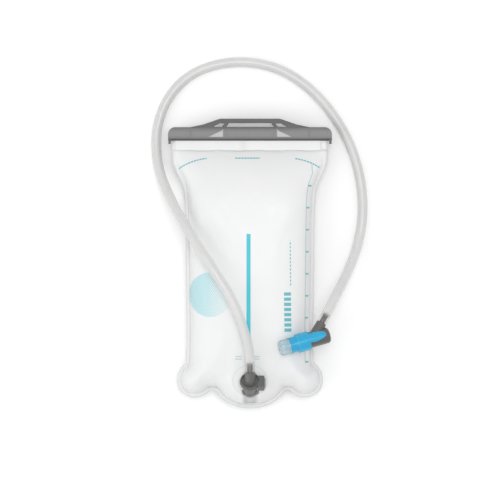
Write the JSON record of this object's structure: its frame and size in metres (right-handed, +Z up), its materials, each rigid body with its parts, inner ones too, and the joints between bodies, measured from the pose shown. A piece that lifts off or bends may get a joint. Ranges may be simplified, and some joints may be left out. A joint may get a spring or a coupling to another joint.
{
  "type": "hydration bladder",
  "caption": "Flexible drinking reservoir with a slide-off top closure, a drinking hose plugged in at its foot and a twist shut-off bite valve.",
  "frame": {"origin": "middle of the bag's underside, where it lies on a surface", "axes": "+X to the right across the printed front, +Y towards the slide closure, +Z up out of the printed front"},
  "size_m": [0.2609, 0.4235, 0.0812],
  "materials": {
    "film": "translucent milky urethane film, softly glossy",
    "top_strip": "satin white urethane strip",
    "slide_grey": "satin metallic grey moulding",
    "port_grey": "dark grey moulding",
    "port_clear": "smoky grey moulding",
    "valve_blue": "bright blue moulding",
    "silicone": "soft clear silicone",
    "hose_clear": "clear flexible tube",
    "seal_black": "black rubber",
    "spring_steel": "drawn wire"
  },
  "bodies": {
    "bag": {"front_film": "film", "rear_film": "film", "front_top_strip": "top_strip", "rear_top_strip": "top_strip", "front_baffle": "film", "rear_baffle": "film", "baffle_rail_front": "film", "baffle_rail_rear": "film", "bulkhead_port": "port_clear", "valve_cage": "port_clear", "poppet_spring": "spring_steel"},
    "slide": {"slide_bar": "slide_grey"},
    "poppet": {"poppet": "port_clear", "poppet_seal": "seal_black"},
    "hose_set": {"hose_connector": "port_grey", "plug_o_ring": "seal_black", "hose": "hose_clear", "valve_elbow": "port_grey", "valve_o_rings": "seal_black", "button_spring": "spring_steel"},
    "button": {"release_button": "port_grey"},
    "bite_sleeve": {"shutoff_sleeve": "valve_blue", "mouthpiece": "silicone"}
  },
  "joints": [
    {"name": "slide_off", "type": "slide", "parent": "bag", "child": "slide", "axis": [1, 0, 0], "range_m": [-0.2, 0]},
    {"name": "poppet_travel", "type": "slide", "parent": "bag", "child": "poppet", "axis": [0, -0.6157, -0.788], "range_m": [0, 0.002], "stiffness_N_per_m": 300, "springref_m": -0.003, "deforming": ["poppet_spring"]},
    {"name": "plug_out", "type": "slide", "parent": "bag", "child": "hose_set", "axis": [0, 0.6157, 0.788], "range_m": [0, 0.022]},
    {"name": "button_press", "type": "slide", "parent": "hose_set", "child": "button", "axis": [-1, 0, 0], "range_m": [0, 0.0015], "stiffness_N_per_m": 800, "springref_m": -0.001, "deforming": ["button_spring"]},
    {"name": "valve_twist", "type": "hinge", "parent": "hose_set", "child": "bite_sleeve", "pos_m": [0.07397, -0.08871, 0.06089], "axis": [-0.9499, -0.2599, 0.1736], "range_deg": [-90, 0]}
  ]
}
